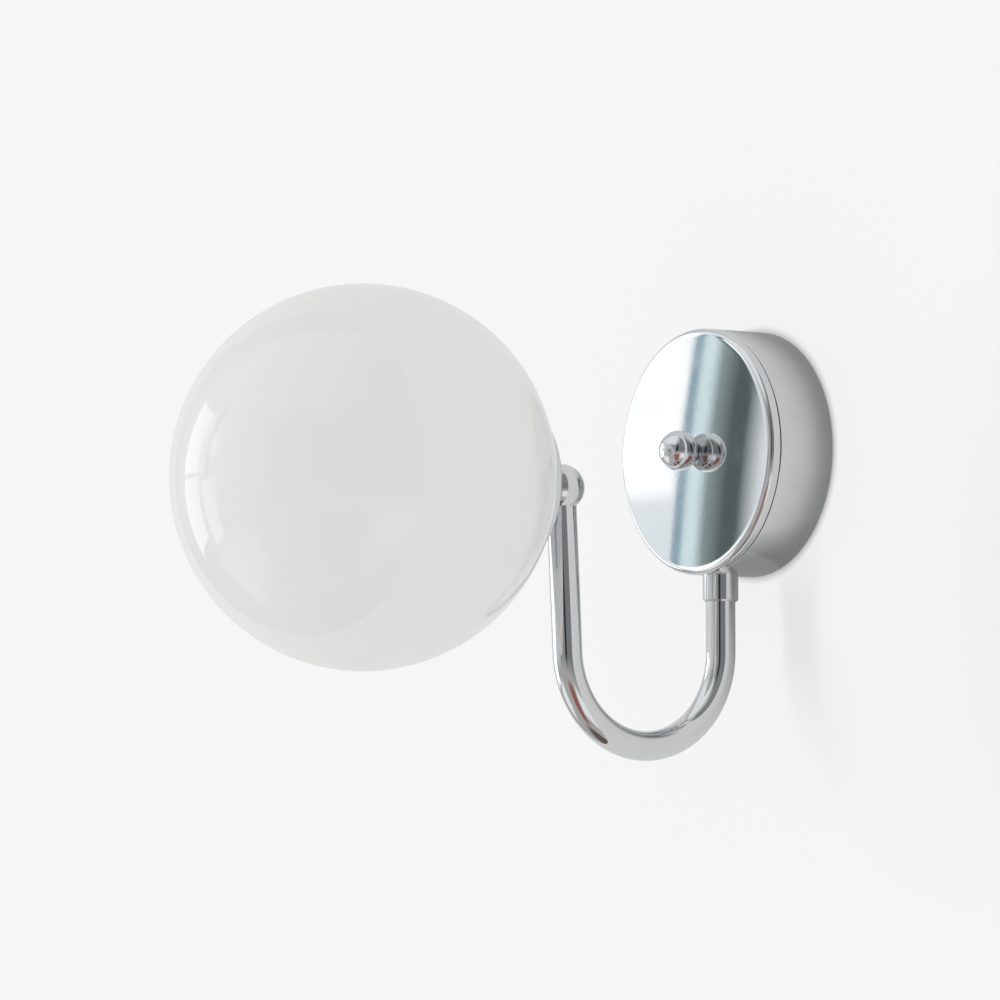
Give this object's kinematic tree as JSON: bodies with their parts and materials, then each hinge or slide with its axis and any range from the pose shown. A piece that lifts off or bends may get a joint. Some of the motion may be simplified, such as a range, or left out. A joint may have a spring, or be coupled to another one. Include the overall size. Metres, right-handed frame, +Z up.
{
  "type": "globe wall sconce",
  "caption": "Wall light with a round chrome canopy, a ball finial, a U-bent tube arm that swivels under it, and an opal glass globe held from behind.",
  "frame": {"origin": "centre of the canopy's back, in the plane of the wall", "axes": "+Y into the wall, -Y out to the globe, +Z up, +X to the right for someone facing the wall"},
  "size_m": [0.15, 0.2677, 0.183],
  "materials": {
    "polished_chrome": "mirror polished chrome plate",
    "zinc_plated_steel": "bright zinc plate",
    "nickelled_brass": "stamped, lightly tarnished",
    "turned_aluminium": "fine turned",
    "opal_glass": "glossy opal, fire polished",
    "terminal_plastic": "natural moulded",
    "white_thermoplastic": "moulded",
    "silicone_gasket": "soft translucent",
    "lamp_plastic": "moulded",
    "lamp_diffuser": "frosted",
    "solder": "dull solder",
    "board": "white solder mask",
    "live_insulation": "brown sleeve",
    "neutral_insulation": "blue sleeve",
    "earth_insulation": "green and yellow sleeve",
    "cable_sheath": "white round sheath"
  },
  "bodies": {
    "canopy": {"canopy_cover": "polished_chrome", "canopy_body": "polished_chrome", "mounting_bracket": "zinc_plated_steel", "threaded_rod": "zinc_plated_steel", "rod_lock_nut": "zinc_plated_steel", "terminal_block": "terminal_plastic", "terminal_clamps": "nickelled_brass", "terminal_screws": "zinc_plated_steel", "block_screws": "zinc_plated_steel", "earth_tag": "nickelled_brass", "earth_screw": "zinc_plated_steel", "collar": "polished_chrome", "saddle_washer": "zinc_plated_steel", "live_lead": "live_insulation", "neutral_lead": "neutral_insulation", "earth_lead": "earth_insulation"},
    "finial": {"ball_finial": "polished_chrome"},
    "arm": {"stop_washer": "zinc_plated_steel", "spring_washer": "zinc_plated_steel", "arm_lock_nut": "zinc_plated_steel", "arm_nipple": "zinc_plated_steel", "arm_tube": "polished_chrome", "knuckle_ball": "polished_chrome", "leg_nipple": "zinc_plated_steel", "holder_nipple": "zinc_plated_steel", "neck_sleeve": "polished_chrome", "gallery": "polished_chrome", "screw_boss": "turned_aluminium", "gallery_gasket": "silicone_gasket", "gallery_lock_nut": "zinc_plated_steel", "lampholder_cap": "white_thermoplastic", "lampholder_body": "white_thermoplastic", "lampholder_shell": "nickelled_brass", "lampholder_contacts": "nickelled_brass", "lampholder_screws": "zinc_plated_steel", "arm_cable": "cable_sheath", "holder_live_lead": "live_insulation", "holder_neutral_lead": "neutral_insulation"},
    "globe": {"globe_shade": "opal_glass", "globe_ring": "turned_aluminium"},
    "bulb": {"bulb_screw_cap": "nickelled_brass", "bulb_contact": "solder", "bulb_housing": "lamp_plastic", "bulb_diffuser": "lamp_diffuser", "led_board": "board"}
  },
  "joints": [
    {"name": "arm_swivel", "type": "hinge", "parent": "canopy", "child": "arm", "pos_m": [0, -0.018, -0.05], "axis": [0, 0, 1], "range_deg": [-60, 60]},
    {"name": "globe_twist", "type": "hinge", "parent": "arm", "child": "globe", "pos_m": [0, -0.19265, -0.0175], "axis": [0, -1, 0], "range_deg": [0, 540]},
    {"name": "bulb_turn", "type": "hinge", "parent": "arm", "child": "bulb", "pos_m": [0, -0.19265, -0.0175], "axis": [0, -1, 0], "continuous": true},
    {"name": "finial_turn", "type": "hinge", "parent": "canopy", "child": "finial", "pos_m": [0, -0.03926, 0], "axis": [0, -1, 0], "continuous": true}
  ]
}
